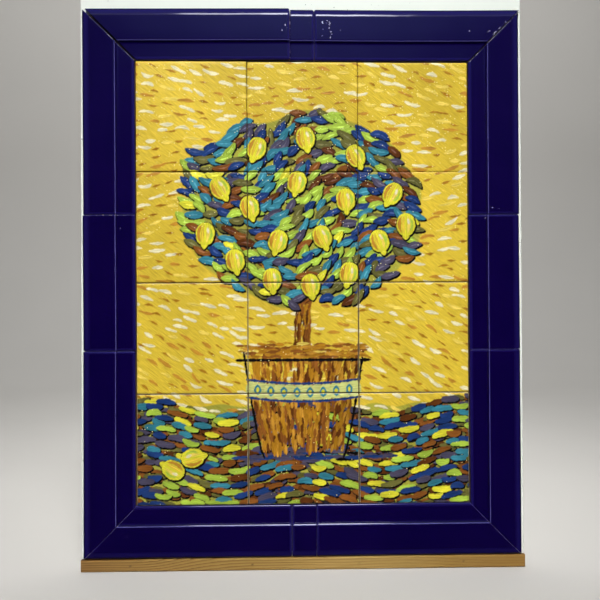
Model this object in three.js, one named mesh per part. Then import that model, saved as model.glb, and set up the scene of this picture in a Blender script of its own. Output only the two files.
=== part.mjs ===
import * as THREE from 'three';

// Framed tile mural: twelve painted wall tiles inside a border of cobalt relief tiles, all
// glued to a white board with a pine batten as a ledge under the border.
// Millimetres. X is right, Z is up and the picture faces -Y. The origin is the middle of the
// board's back.

const BOARD_WIDTH = 600;
const BOARD_HEIGHT = 800;
const BOARD_THICKNESS = 16;
const BOARD_EDGE = 0.5;

const BATTEN_HEIGHT = 17;
const BATTEN_PROUD = 8;
const BATTEN_EDGE = 1;

const TILE_SIZE = 149;
const TILE_THICKNESS = 7;
const TILE_EDGE = 1.2;
const TILE_JOINT = 1;
const TILE_COLUMNS = 3;
const TILE_ROWS = 4;

const BORDER_WIDTH = 69.5;
const CORNER_LENGTH = 278;
const BAND_HEIGHT = 11;
const BAND_WIDTH = 44.4;
const LIP_HEIGHT = 8;
const SHOULDER_RADIUS = 8;
const STEP_RADIUS = 2;
const STEP_FILLET = 1;
const LIP_RADIUS = 1.5;
const END_RADIUS = 2.5;
const MITRE_SETBACK = 0.3;
const LEDGE_GAP = 0.3;

const ARC_STEPS = 3;
const SHOULDER_STEPS = 6;

// The picture, and the border round it, in the plane of the board.
const TILE_PITCH = TILE_SIZE + TILE_JOINT;
const PICTURE_WIDTH = TILE_COLUMNS * TILE_PITCH - TILE_JOINT;
const PICTURE_HEIGHT = TILE_ROWS * TILE_PITCH - TILE_JOINT;
const BORDER_OUTER_WIDTH = PICTURE_WIDTH + 2 * (TILE_JOINT + BORDER_WIDTH);
const BORDER_OUTER_HEIGHT = PICTURE_HEIGHT + 2 * (TILE_JOINT + BORDER_WIDTH);
const BORDER_BOTTOM = BATTEN_HEIGHT + LEDGE_GAP - BOARD_HEIGHT / 2;
const BORDER_MIDDLE = BORDER_BOTTOM + BORDER_OUTER_HEIGHT / 2;
const FILLER_ACROSS = BORDER_OUTER_WIDTH - 2 * (CORNER_LENGTH + TILE_JOINT);
const FILLER_UP = BORDER_OUTER_HEIGHT - 2 * (CORNER_LENGTH + TILE_JOINT);

const boardWhite = () => new THREE.MeshStandardMaterial({ color: 0xe8eee8, roughness: 0.45 });
const pine = () => new THREE.MeshStandardMaterial({ color: 0xb08c55, roughness: 0.65 });
const cobaltGlaze = () => new THREE.MeshStandardMaterial({ color: 0x160a52, roughness: 0.15 });
const paintedGlaze = (color) => new THREE.MeshStandardMaterial({ color, roughness: 0.3 });

const ROW_COLOURS = [0xdcbd46, 0xdcbd46, 0xb08a3c, 0x7f7a44];

// The four sides run anticlockwise as seen from the front. Each tile has its length, the cut
// at its start and end, how far it lies outward and along its side, and its turn in degrees.
const tile = (name, length, start, end, outward = 0, along = 0, turn = 0) => ({
  name, length, start, end, outward, along, turn,
});

const SIDES = [
  {
    angle: 0, run: BORDER_OUTER_WIDTH, across: BORDER_OUTER_HEIGHT,
    tiles: [
      tile('frame_bottom_left', CORNER_LENGTH, 'mitre', 'round'),
      tile('frame_bottom_filler', FILLER_ACROSS, 'round', 'sawn'),
      tile('frame_bottom_right', CORNER_LENGTH, 'round', 'mitre'),
    ],
  },
  {
    angle: 90, run: BORDER_OUTER_HEIGHT, across: BORDER_OUTER_WIDTH,
    tiles: [
      tile('frame_right_lower', CORNER_LENGTH, 'mitre', 'round', 0.3, 0, 0.05),
      tile('frame_right_middle', FILLER_UP, 'sawn', 'round', -0.3, 0, 0.15),
      tile('frame_right_upper', CORNER_LENGTH, 'round', 'mitre', 0.6),
    ],
  },
  {
    angle: 180, run: BORDER_OUTER_WIDTH, across: BORDER_OUTER_HEIGHT,
    tiles: [
      tile('frame_top_right', CORNER_LENGTH, 'mitre', 'round', 1.1, -0.7, 0.27),
      tile('frame_top_filler', FILLER_ACROSS, 'round', 'sawn', 0.5),
      tile('frame_top_left', CORNER_LENGTH, 'round', 'mitre', 2, 0, 0.15),
    ],
  },
  {
    angle: 270, run: BORDER_OUTER_HEIGHT, across: BORDER_OUTER_WIDTH,
    tiles: [
      tile('frame_left_upper', CORNER_LENGTH, 'mitre', 'round', 0.3, 0, 0.2),
      tile('frame_left_middle', FILLER_UP, 'sawn', 'round', 0.9, 0, 0.1),
      tile('frame_left_lower', CORNER_LENGTH, 'round', 'mitre', 0.2, 0, -0.08),
    ],
  },
];

// Points on an arc, both ends included; the angles are in degrees.
function arc(x, y, radius, from, to, steps) {
  const points = [];
  for (let k = 0; k <= steps; k += 1) {
    const angle = THREE.MathUtils.degToRad(from + ((to - from) * k) / steps);
    points.push(new THREE.Vector2(x + radius * Math.cos(angle), y + radius * Math.sin(angle)));
  }
  return points;
}

// A closed solid through rings of equal length. The rings run anticlockwise as seen from the
// last one, and the two end rings are filled in after the flat outline given.
function skin(rings, outline) {
  const count = outline.length;
  const index = [];
  for (let ring = 0; ring + 1 < rings.length; ring += 1) {
    for (let k = 0; k < count; k += 1) {
      const a = ring * count + k;
      const b = ring * count + ((k + 1) % count);
      index.push(a, b, b + count, a, b + count, a + count);
    }
  }
  const last = (rings.length - 1) * count;
  for (const [a, b, c] of THREE.ShapeUtils.triangulateShape(outline, [])) {
    index.push(c, b, a, last + a, last + b, last + c);
  }
  const geometry = new THREE.BufferGeometry();
  geometry.setAttribute('position', new THREE.Float32BufferAttribute(rings.flat(2), 3));
  geometry.setIndex(index);
  return geometry;
}

// The outline of a rectangle with rounded corners, centred, anticlockwise.
function roundedRectangle(width, height, radius) {
  const x = width / 2 - radius;
  const z = height / 2 - radius;
  return [
    ...arc(-x, -z, radius, 180, 270, ARC_STEPS),
    ...arc(x, -z, radius, 270, 360, ARC_STEPS),
    ...arc(x, z, radius, 0, 90, ARC_STEPS),
    ...arc(-x, z, radius, 90, 180, ARC_STEPS),
  ];
}

// A flat slab with its back at y = 0 and its front edges and corners rounded.
function slab(width, height, thickness, edge) {
  const ringAt = (inset, depth) => roundedRectangle(
    width - 2 * inset, height - 2 * inset, 2 * edge - inset,
  ).map((point) => [point.x, -depth, point.y]);
  const rings = [ringAt(0, 0)];
  for (const point of arc(0, 0, edge, 0, 90, ARC_STEPS)) {
    rings.push(ringAt(edge - point.x, thickness - edge + point.y));
  }
  return skin(rings, roundedRectangle(width, height, 2 * edge));
}

// The section of a border tile: x is the distance from its outer side and y the height over
// the board. A round shoulder, a raised band, a round step and a lower lip by the picture.
function borderSection() {
  const lipTop = LIP_HEIGHT - LIP_RADIUS;
  const stepFoot = LIP_HEIGHT + STEP_FILLET;
  const stepHead = BAND_HEIGHT - STEP_RADIUS;
  const shoulderFoot = BAND_HEIGHT - SHOULDER_RADIUS;
  return [
    new THREE.Vector2(0, 0),
    new THREE.Vector2(BORDER_WIDTH, 0),
    ...arc(BORDER_WIDTH - LIP_RADIUS, lipTop, LIP_RADIUS, 0, 90, ARC_STEPS),
    ...arc(BAND_WIDTH + STEP_FILLET, stepFoot, STEP_FILLET, 270, 180, ARC_STEPS).slice(0, -1),
    ...arc(BAND_WIDTH - STEP_RADIUS, stepHead, STEP_RADIUS, 0, 90, ARC_STEPS),
    ...arc(SHOULDER_RADIUS, shoulderFoot, SHOULDER_RADIUS, 90, 180, SHOULDER_STEPS),
  ];
}

// One ring of a border tile: the section set in from the end and made lower by the drop.
function borderRing(section, end, cut, inset, drop) {
  const narrow = 1 - (2 * drop) / BORDER_WIDTH;
  const low = 1 - drop / BAND_HEIGHT;
  return section.map((point) => {
    const mitre = cut === 'mitre' ? point.x + MITRE_SETBACK : 0;
    const along = end - Math.sign(end) * (inset + mitre);
    return [along, -point.y * low, (point.x - BORDER_WIDTH / 2) * narrow];
  });
}

// The rings at one end of a border tile, from the end inward: a factory end is rounded.
function endRings(section, end, cut) {
  if (cut !== 'round') {
    return [borderRing(section, end, cut, 0, 0)];
  }
  return arc(0, 0, END_RADIUS, 0, 90, ARC_STEPS).map((point) => (
    borderRing(section, end, cut, END_RADIUS - point.x, END_RADIUS - point.y)
  ));
}

// A border tile along X, its outer side downward, its middle at the origin.
function borderTile(length, start, end) {
  const section = borderSection();
  const rings = [
    ...endRings(section, -length / 2, start),
    ...endRings(section, length / 2, end).reverse(),
  ];
  return skin(rings, section);
}

function piece(name, geometry, material, x, y, z) {
  const mesh = new THREE.Mesh(geometry, material);
  mesh.name = name;
  mesh.position.set(x, y, z);
  return mesh;
}

// The three border tiles of one side, each laid by hand a little off its place.
function borderSide(side) {
  const angle = THREE.MathUtils.degToRad(side.angle);
  const place = (along, inward) => [
    along * Math.cos(angle) - inward * Math.sin(angle),
    BORDER_MIDDLE + along * Math.sin(angle) + inward * Math.cos(angle),
  ];
  let start = -side.run / 2;
  return side.tiles.map((item) => {
    const along = start + item.length / 2 + item.along;
    const [x, z] = place(along, (BORDER_WIDTH - side.across) / 2 - item.outward);
    const geometry = borderTile(item.length, item.start, item.end);
    const mesh = piece(item.name, geometry, cobaltGlaze(), x, -BOARD_THICKNESS, z);
    mesh.rotation.y = -angle - THREE.MathUtils.degToRad(item.turn);
    start += item.length + TILE_JOINT;
    return mesh;
  });
}

// The picture tiles, row by row from the top left.
function pictureTiles() {
  const top = BORDER_MIDDLE + PICTURE_HEIGHT / 2 - TILE_SIZE / 2;
  const left = (TILE_SIZE - PICTURE_WIDTH) / 2;
  const meshes = [];
  for (let row = 0; row < TILE_ROWS; row += 1) {
    for (let column = 0; column < TILE_COLUMNS; column += 1) {
      meshes.push(piece(
        `picture_tile_r${row + 1}_c${column + 1}`,
        slab(TILE_SIZE, TILE_SIZE, TILE_THICKNESS, TILE_EDGE),
        paintedGlaze(ROW_COLOURS[row]),
        left + column * TILE_PITCH, -BOARD_THICKNESS, top - row * TILE_PITCH,
      ));
    }
  }
  return meshes;
}

const board = piece(
  'backing_board',
  slab(BOARD_WIDTH, BOARD_HEIGHT, BOARD_THICKNESS, BOARD_EDGE),
  boardWhite(), 0, 0, 0,
);

const batten = piece(
  'ledge_batten',
  slab(BOARD_WIDTH, BATTEN_HEIGHT, BATTEN_PROUD, BATTEN_EDGE),
  pine(), 0, -BOARD_THICKNESS, (BATTEN_HEIGHT - BOARD_HEIGHT) / 2,
);

const mural = new THREE.Group();
mural.name = 'framed_tile_mural';
mural.add(board, batten, ...SIDES.flatMap(borderSide), ...pictureTiles());

export default mural;
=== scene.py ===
"""Looks of the framed tile mural: white board, pine batten, cobalt border tiles, painted tiles."""
import logging
import math
from abc import ABC, abstractmethod
from dataclasses import dataclass, field
from enum import Enum

import bpy
import numpy as np
from mathutils import Matrix, Vector


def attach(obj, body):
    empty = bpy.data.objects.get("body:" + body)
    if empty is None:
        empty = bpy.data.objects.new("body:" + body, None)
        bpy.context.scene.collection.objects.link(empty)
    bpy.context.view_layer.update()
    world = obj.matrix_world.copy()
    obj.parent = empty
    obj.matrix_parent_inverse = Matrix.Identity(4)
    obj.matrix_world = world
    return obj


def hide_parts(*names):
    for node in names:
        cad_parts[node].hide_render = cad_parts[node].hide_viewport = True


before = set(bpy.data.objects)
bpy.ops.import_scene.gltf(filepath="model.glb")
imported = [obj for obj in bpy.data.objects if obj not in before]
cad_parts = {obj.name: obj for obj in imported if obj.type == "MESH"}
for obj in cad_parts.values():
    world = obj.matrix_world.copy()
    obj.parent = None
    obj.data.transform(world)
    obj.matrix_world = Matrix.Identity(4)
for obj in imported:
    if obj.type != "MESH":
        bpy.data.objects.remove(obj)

Array = np.ndarray
Pair = tuple[float, float]
Socket = bpy.types.NodeSocket
Tree = bpy.types.NodeTree

LOG = logging.getLogger("framed_tile_mural")
MM = 0.001
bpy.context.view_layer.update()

# Places that several sub-assemblies share, in millimetres in the row frame: the board's face,
# the middle of the border, and the border's outer size.
BOARD_FACE = -16.0
BORDER_MIDDLE = -12.7
BORDER_SIZE = (590.0, 740.0)
TILE_JOINT = 1.0

# What the sum of a ripple's waves seldom passes.
RIPPLE_PEAK = 3.2


def linear(hex_colour: str) -> tuple[float, float, float, float]:
    """Turn an sRGB hex colour to linear light.

    Args:
        hex_colour: A colour such as "#1a2b3c".

    Returns:
        Linear red, green, blue and an alpha of 1.
    """
    parts = np.array([int(hex_colour[k:k + 2], 16) for k in (1, 3, 5)]) / 255
    light = np.where(parts <= 0.04045, parts / 12.92, ((parts + 0.055) / 1.055) ** 2.4)
    return (float(light[0]), float(light[1]), float(light[2]), 1.0)


def add_node(tree: Tree, kind: str, inputs: dict | None = None,
             **settings: object) -> bpy.types.Node:
    """Add one node with its settings, values and links.

    Args:
        tree: The node tree that gets the node.
        kind: The node's Blender type name.
        inputs: Input name or number to a value or to what feeds it, which is an output socket,
            or a node for the first output that it has in use.
        **settings: Attributes set on the node itself.

    Returns:
        The new node.
    """
    node = tree.nodes.new(kind)
    for name, value in settings.items():
        setattr(node, name, value)
    for name, value in (inputs or {}).items():
        if isinstance(value, bpy.types.Node):
            value = next(socket for socket in value.outputs if socket.enabled)
        if isinstance(value, Socket):
            tree.links.new(value, node.inputs[name])
        else:
            node.inputs[name].default_value = value
    return node


def ripple(x: Array, z: Array, size: float, seed: int) -> Array:
    """Smooth uneven field: seven plane waves of like length in scattered directions, summed
    and divided by what the sum seldom passes.

    Args:
        x: First coordinate, in millimetres.
        z: Second coordinate, in millimetres.
        size: Typical wavelength, in millimetres.
        seed: Chooses the waves.

    Returns:
        Values from about -1 to 1, of the shape of x and z together.
    """
    rng = np.random.default_rng(seed)
    count = 7
    total = np.zeros(np.broadcast(x, z).shape)
    for turn, stretch, phase in zip(rng.uniform(0, math.tau, count),
                                    rng.uniform(0.6, 1.7, count),
                                    rng.uniform(0, math.tau, count)):
        wave = math.tau / (size * stretch)
        total += np.sin((x * math.cos(turn) + z * math.sin(turn)) * wave + phase)
    return total / RIPPLE_PEAK


def smooth_step(value: Array, low: float, high: float) -> Array:
    """Rise from 0 at low to 1 at high along the cubic 3t^2 - 2t^3.

    Args:
        value: Where to read the curve.
        low: Value at which it starts to rise.
        high: Value at which it reaches 1.

    Returns:
        The curve at each value.
    """
    part = np.clip((value - low) / (high - low), 0, 1)
    return part * part * (3 - 2 * part)


def falling(distance: Array, knots: tuple[Pair, ...]) -> Array:
    """Fall of a surface whose slope follows a table: the running sum of slope times distance.

    Args:
        distance: Distances in rising order, in millimetres.
        knots: Pairs of distance and slope; between them the slope changes evenly.

    Returns:
        The fall at each distance, zero at the first.
    """
    places, slopes = np.array(knots).T
    slope = np.interp(distance, places, slopes)
    steps = (slope[1:] + slope[:-1]) / 2 * np.diff(distance)
    return np.concatenate([[0.0], np.cumsum(steps)])


def relief_slab(name: str, front: Array, back: float, layers: dict[str, Array]) -> bpy.types.Object:
    """Make a closed slab: a grid front whose rim drops straight to a flat back.

    The front is a function of column (to the right) and row (upward) on a grid. The walls join
    each rim point to its copy at the back's depth, and the back is one flat face.

    Args:
        name: The object's name.
        front: Points (rows, columns, 3) in millimetres, anticlockwise as seen from the front.
        back: The Y of the flat back, in millimetres.
        layers: Attribute name to an array (rows, columns) of numbers, or (rows, columns, 3) of
            vectors or linear colours; a name that starts with "paint" is stored as a colour.

    Returns:
        The new object, at the origin.
    """
    rows, columns, _ = front.shape
    index = np.arange(rows * columns).reshape(rows, columns)
    rim = np.concatenate([index[0, :-1], index[:-1, -1], index[-1, :0:-1], index[:0:-1, 0]])
    behind = rows * columns + np.arange(len(rim))
    points = front.reshape(-1, 3)
    edge = points[rim].copy()
    edge[:, 1] = back
    quads = np.stack([index[:-1, :-1], index[:-1, 1:], index[1:, 1:], index[1:, :-1]], axis=-1)
    walls = np.stack([rim, behind, np.roll(behind, -1), np.roll(rim, -1)], axis=-1)
    loops = np.concatenate([quads.reshape(-1), walls.reshape(-1), behind[::-1]])
    fours = quads[..., 0].size + len(walls)
    mesh = bpy.data.meshes.new(name)
    mesh.vertices.add(len(points) + len(edge))
    mesh.vertices.foreach_set("co", (np.concatenate([points, edge]) * MM).ravel())
    mesh.loops.add(len(loops))
    mesh.loops.foreach_set("vertex_index", loops.astype(np.int32))
    mesh.polygons.add(fours + 1)
    mesh.polygons.foreach_set("loop_start", np.arange(fours + 1, dtype=np.int32) * 4)
    mesh.update(calc_edges=True)
    smooth = np.zeros(fours + 1, dtype=bool)
    smooth[:quads[..., 0].size] = True
    mesh.polygons.foreach_set("use_smooth", smooth)
    for layer, values in layers.items():
        store_layer(mesh, layer, values, rim)
    mesh.validate()
    piece = bpy.data.objects.new(name, mesh)
    bpy.context.scene.collection.objects.link(piece)
    return piece


def store_layer(mesh: bpy.types.Mesh, layer: str, values: Array, rim: Array) -> None:
    """Store one attribute on a slab's points. The back's points repeat the rim's values, but
    the bare body of a cut edge fades out towards the bottom of the joint, where the glaze's
    dark colour is painted shade.

    Args:
        mesh: The slab's mesh.
        layer: The attribute's name.
        values: Array (rows, columns) or (rows, columns, 3).
        rim: Indices of the rim points.
    """
    parts = 1 if values.ndim == 2 else 3
    kind, target = ("FLOAT", "value") if parts == 1 else ("FLOAT_VECTOR", "vector")
    flat = values.reshape(-1, parts)
    # Painted shade: the back's points get no bare body, so a cut end's wall darkens to the glaze
    # colour towards the bottom of the joint.
    flat = np.concatenate([flat, flat[rim] * (layer != "bare")])
    if layer.startswith("paint"):
        kind, target = "FLOAT_COLOR", "color"
        flat = np.concatenate([flat, np.ones((len(flat), 1))], axis=1)
    attribute = mesh.attributes.new(layer, kind, "POINT")
    attribute.data.foreach_set(target, flat.astype(np.float32).ravel())


def dress(piece: bpy.types.Object, node: str, material: bpy.types.Material) -> None:
    """Give a new piece its material and its body, and hide the CAD node that it stands for.

    Args:
        piece: The new piece.
        node: The CAD node that the piece replaces.
        material: The piece's material.
    """
    piece.data.materials.append(material)
    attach(piece, "root")
    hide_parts(node)
    LOG.info("%s: %d faces, stands for %s", piece.name, len(piece.data.polygons), node)


class Finish(ABC):
    """A material made of nodes round one Principled shader."""

    name: str

    @abstractmethod
    def looks(self, tree: Tree, place: Socket) -> dict[str, object]:
        """Make the nodes that feed the shader.

        Args:
            tree: The material's node tree.
            place: Object coordinates.

        Returns:
            The shader's inputs.
        """

    def build(self) -> bpy.types.Material:
        """Make the material.

        Returns:
            The new material.
        """
        material = bpy.data.materials.new(self.name)
        material.use_nodes = True
        tree = material.node_tree
        tree.nodes.clear()
        place = add_node(tree, "ShaderNodeTexCoord").outputs["Object"]
        shader = add_node(tree, "ShaderNodeBsdfPrincipled", self.looks(tree, place))
        add_node(tree, "ShaderNodeOutputMaterial", {"Surface": shader})
        return material


@dataclass(frozen=True)
class CobaltGlaze(Finish):
    """Cobalt lead-free glaze, poured over a pressed tile: glassy, nearly black blue, thinner and
    paler where it ran off the convex edges, with a faint orange peel. The paler blues also hold
    painted reflection on those edges, and a painted shade darkens the outer foot."""

    name: str = "cobalt_glaze"
    deep: str = "#060030"
    violet: str = "#0e023a"
    # Paler blues where the thin layer is weak and strong: glaze run thin over convex edges, and
    # partly painted reflection.
    bright: str = "#19124e"
    thin: str = "#6e6ca2"
    biscuit: str = "#c8bab6"
    chalk: str = "#cfcdd6"
    # Painted shade along the outer foot of the shoulder, where the tile meets the board.
    painted_shade: str = "#03010f"
    roughness: float = 0.08
    worn_roughness: float = 0.8
    ior: float = 1.52
    cloud_mm: float = 60.0
    peel_mm: float = 5.0
    peel_depth_mm: float = 0.02
    rub_mm: float = 1.1
    chip_mm: float = 1.5
    half_thin_and_sheen: float = 0.4
    grit: float = 0.75
    mark_level: Pair = (0.89, 0.95)

    def looks(self, tree: Tree, place: Socket) -> dict[str, object]:
        """Make the glaze from the layers thin, bare and scuff, and from the painted shade along the
        outer foot; thin's paler blues are partly painted reflection.

        Args:
            tree: The material's node tree.
            place: Object coordinates.

        Returns:
            The shader's inputs.
        """
        cloud, peel = (add_node(tree, "ShaderNodeTexNoise", {
            "Vector": place, "Scale": 1 / (size * MM), "Detail": detail})
            for size, detail in ((self.cloud_mm, 3.0), (self.peel_mm, 2.0)))
        thin, outer_shade = (add_node(tree, "ShaderNodeAttribute", attribute_name=layer).outputs["Fac"]
                      for layer in ("thin", "outer_shade"))
        soft = add_node(tree, "ShaderNodeMapRange", {"Value": thin, "From Max": self.half_thin_and_sheen})
        hard = add_node(tree, "ShaderNodeMapRange", {"Value": thin, "From Min": self.half_thin_and_sheen})
        rub = self.mark(tree, place, "scuff", self.rub_mm)
        bare = self.mark(tree, place, "bare", self.chip_mm)
        # Lay covers in turn: a random violet cloud, the paler blues of the thin layer (thinner
        # glaze and partly painted reflection), scuffs, bare body, and painted shade at the outer
        # foot.
        colour = linear(self.deep)
        for mask, shade in ((cloud, self.violet), (soft, self.bright), (hard, self.thin),
                            (rub, self.chalk), (bare, self.biscuit), (outer_shade, self.painted_shade)):
            colour = add_node(tree, "ShaderNodeMix", {
                "Factor": mask, "A": colour, "B": linear(shade)}, data_type="RGBA")
        dull = rub
        for mask in (bare, outer_shade):
            dull = add_node(tree, "ShaderNodeMath", {0: dull, 1: mask}, operation="MAXIMUM")
        rough = add_node(tree, "ShaderNodeMapRange", {
            "Value": dull, "To Min": self.roughness, "To Max": self.worn_roughness})
        bump = add_node(tree, "ShaderNodeBump", {
            "Height": peel, "Strength": 1.0, "Distance": self.peel_depth_mm * MM})
        return {"Base Color": colour, "Roughness": rough, "IOR": self.ior, "Normal": bump}

    def mark(self, tree: Tree, place: Socket, layer: str, grain_mm: float) -> bpy.types.Node:
        """Break a soft layer into crisp ragged marks: noise plus layer, cut at a threshold.

        Args:
            tree: The material's node tree.
            place: Object coordinates.
            layer: The attribute that says where marks may be.
            grain_mm: Size of the ragged detail, in millimetres.

        Returns:
            A node whose output is 1 on a mark and 0 off it.
        """
        zone = add_node(tree, "ShaderNodeAttribute", attribute_name=layer).outputs["Fac"]
        noise = add_node(tree, "ShaderNodeTexNoise", {
            "Vector": place, "Scale": 1 / (grain_mm * MM), "Detail": 1.0})
        both = add_node(tree, "ShaderNodeMath", {0: noise, 1: self.grit, 2: zone},
                        operation="MULTIPLY_ADD")
        low, high = self.mark_level
        return add_node(tree, "ShaderNodeMapRange", {
            "Value": both, "From Min": low, "From Max": high})


@dataclass(frozen=True)
class PaintedGlaze(Finish):
    """Coloured glazes brushed thickly on a white-glazed tile and fired: satin gloss, streaked
    along each brush mark, with the ridges that the bristles leave, and small painted glints:
    pale dots that stand for highlights on the glaze."""

    name: str = "painted_glaze"
    # Painted glints: pale dots that stand for highlights on the glaze, more of them higher up.
    painted_glint: str = "#fcf2a8"
    glint_mm: float = 3.4
    glint_cover: float = 0.7
    glint_rim: Pair = (0.24, 0.15)
    glint_height: Pair = (-0.05, 0.28)
    glint_odds: Pair = (-0.44, -0.07)
    cloud_mm: float = 1000 / 28
    bristle_mm: float = 1.1
    streak_mm: float = 16.0
    streak_shade: Pair = (0.64, 1.1)
    ridge_mm: float = 0.4
    roughness: Pair = (0.08, 0.24)
    ior: float = 1.5

    def looks(self, tree: Tree, place: Socket) -> dict[str, object]:
        """Make the painted glaze from the layers paint and flow.

        Args:
            tree: The material's node tree.
            place: Object coordinates.

        Returns:
            The shader's inputs.
        """
        paint = add_node(tree, "ShaderNodeAttribute", attribute_name="paint")
        flow = add_node(tree, "ShaderNodeAttribute", attribute_name="flow").outputs["Vector"]
        stretch = add_node(tree, "ShaderNodeMapping", {
            "Vector": flow, "Scale": (1 / self.streak_mm, 1 / self.bristle_mm, 1.0)})
        streak = add_node(tree, "ShaderNodeTexNoise", {
            "Vector": stretch, "Scale": 1.0, "Detail": 3.0, "Roughness": 0.6})
        shade = add_node(tree, "ShaderNodeMapRange", {
            "Value": streak, "From Min": 0.3, "From Max": 0.7,
            "To Min": self.streak_shade[0], "To Max": self.streak_shade[1]})
        colour = add_node(tree, "ShaderNodeVectorMath", {0: paint, "Scale": shade},
                          operation="SCALE")
        # Painted highlight: the glints are mixed into the colour.
        lit = add_node(tree, "ShaderNodeMix", {
            "Factor": self.painted_glints(tree, place), "A": colour, "B": linear(self.painted_glint)},
            data_type="RGBA")
        rough = add_node(tree, "ShaderNodeMapRange", {
            "Value": streak, "To Min": self.roughness[0], "To Max": self.roughness[1]})
        bump = add_node(tree, "ShaderNodeBump", {
            "Height": streak, "Strength": 1.0, "Distance": self.ridge_mm * MM})
        return {"Base Color": lit, "Roughness": rough, "IOR": self.ior, "Normal": bump}

    def painted_glints(self, tree: Tree, place: Socket) -> bpy.types.Node:
        """Scatter painted glints: in some cells of a pattern a pale dot round the cell's own point,
        where a cloudy noise is high; fewer towards the bottom of the picture.

        Args:
            tree: The material's node tree.
            place: Object coordinates.

        Returns:
            A node whose output is the cover on a glint and 0 off it.
        """
        cells = add_node(tree, "ShaderNodeTexVoronoi", {
            "Vector": place, "Scale": 1 / (self.glint_mm * MM)}).outputs
        height = add_node(tree, "ShaderNodeSeparateXYZ", {"Vector": place}).outputs["Z"]
        dot, level = (add_node(tree, "ShaderNodeMapRange", {
            "Value": value, "From Min": start, "From Max": end, "To Min": low, "To Max": high})
            for value, (start, end), (low, high) in (
                (cells["Distance"], self.glint_rim, (0.0, self.glint_cover)),
                (height, self.glint_height, self.glint_odds)))
        lot = add_node(tree, "ShaderNodeSeparateColor", {"Color": cells["Color"]})
        cloud = add_node(tree, "ShaderNodeTexNoise", {
            "Vector": place, "Scale": 1 / (self.cloud_mm * MM)})
        odds = add_node(tree, "ShaderNodeMath", {0: cloud, 1: 0.9, 2: level},
                        operation="MULTIPLY_ADD")
        chosen = add_node(tree, "ShaderNodeMath", {0: lot, 1: odds}, operation="LESS_THAN")
        return add_node(tree, "ShaderNodeMath", {0: dot, 1: chosen}, operation="MULTIPLY")


@dataclass(frozen=True)
class WhiteLaminate(Finish):
    """Melamine-faced chipboard: a hard satin white skin with a faint pearl texture, and coarse
    brown wood chips on the cut edges between the two skins. Under the tiles lies the brown bed
    of adhesive."""

    name: str = "white_laminate"
    skin: str = "#eaeee4"
    shade: str = "#e0e6db"
    speck: str = "#8f938c"
    core: str = "#b08d5d"
    chip: str = "#7d5c35"
    bed: str = "#6b5428"
    bed_size_mm: tuple[float, float, float] = (578.0, 2.0, 728.0)
    roughness: float = 0.38
    core_roughness: float = 0.85
    ior: float = 1.5
    thickness_mm: float = 16.0
    skin_mm: float = 0.5
    chip_mm: float = 2.2
    cloud_mm: float = 1000 / 9
    speck_mm: float = 1000 / 260
    speck_level: Pair = (0.745, 0.78)
    pearl_mm: float = 1000 / 900
    relief_mm: float = 0.15

    def looks(self, tree: Tree, place: Socket) -> dict[str, object]:
        """Make the skin, the bed and the cut edges.

        Args:
            tree: The material's node tree.
            place: Object coordinates.

        Returns:
            The shader's inputs.
        """
        half = self.thickness_mm / 2
        axes = add_node(tree, "ShaderNodeSeparateXYZ", {"Vector": place}).outputs
        core = add_node(tree, "ShaderNodeMath", {
            0: axes["Y"], 1: -half * MM, 2: (half - self.skin_mm) * MM}, operation="COMPARE")
        bed = 1.0
        for axis, middle, size in zip("XYZ", (0.0, BOARD_FACE, BORDER_MIDDLE), self.bed_size_mm):
            within = add_node(tree, "ShaderNodeMath", {
                0: axes[axis], 1: middle * MM, 2: size / 2 * MM}, operation="COMPARE")
            bed = add_node(tree, "ShaderNodeMath", {0: within, 1: bed}, operation="MULTIPLY")
        cloud, dots, pearl = (add_node(tree, "ShaderNodeTexNoise", {
            "Vector": place, "Scale": 1 / (size * MM), "Detail": detail})
            for size, detail in ((self.cloud_mm, 3.0), (self.speck_mm, 1.0),
                                 (self.pearl_mm, 1.0)))
        spot = add_node(tree, "ShaderNodeMapRange", {
            "Value": dots, "From Min": self.speck_level[0], "From Max": self.speck_level[1]})
        flakes = add_node(tree, "ShaderNodeTexVoronoi", {
            "Vector": place, "Scale": 1 / (self.chip_mm * MM)}).outputs
        wood = add_node(tree, "ShaderNodeMix", {
            "Factor": flakes["Color"], "A": linear(self.core), "B": linear(self.chip)},
            data_type="RGBA")
        colour = linear(self.skin)
        for mask, cover in ((cloud, linear(self.shade)), (spot, linear(self.speck)),
                            (bed, linear(self.bed)), (core, wood)):
            colour = add_node(tree, "ShaderNodeMix", {
                "Factor": mask, "A": colour, "B": cover}, data_type="RGBA")
        rough = add_node(tree, "ShaderNodeMapRange", {
            "Value": core, "To Min": self.roughness, "To Max": self.core_roughness})
        relief = add_node(tree, "ShaderNodeMix", {
            "Factor": core, "A": pearl, "B": flakes["Distance"]}, data_type="FLOAT")
        bump = add_node(tree, "ShaderNodeBump", {
            "Height": relief, "Strength": 0.6, "Distance": self.relief_mm * MM})
        return {"Base Color": colour, "Roughness": rough, "IOR": self.ior, "Normal": bump}


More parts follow.
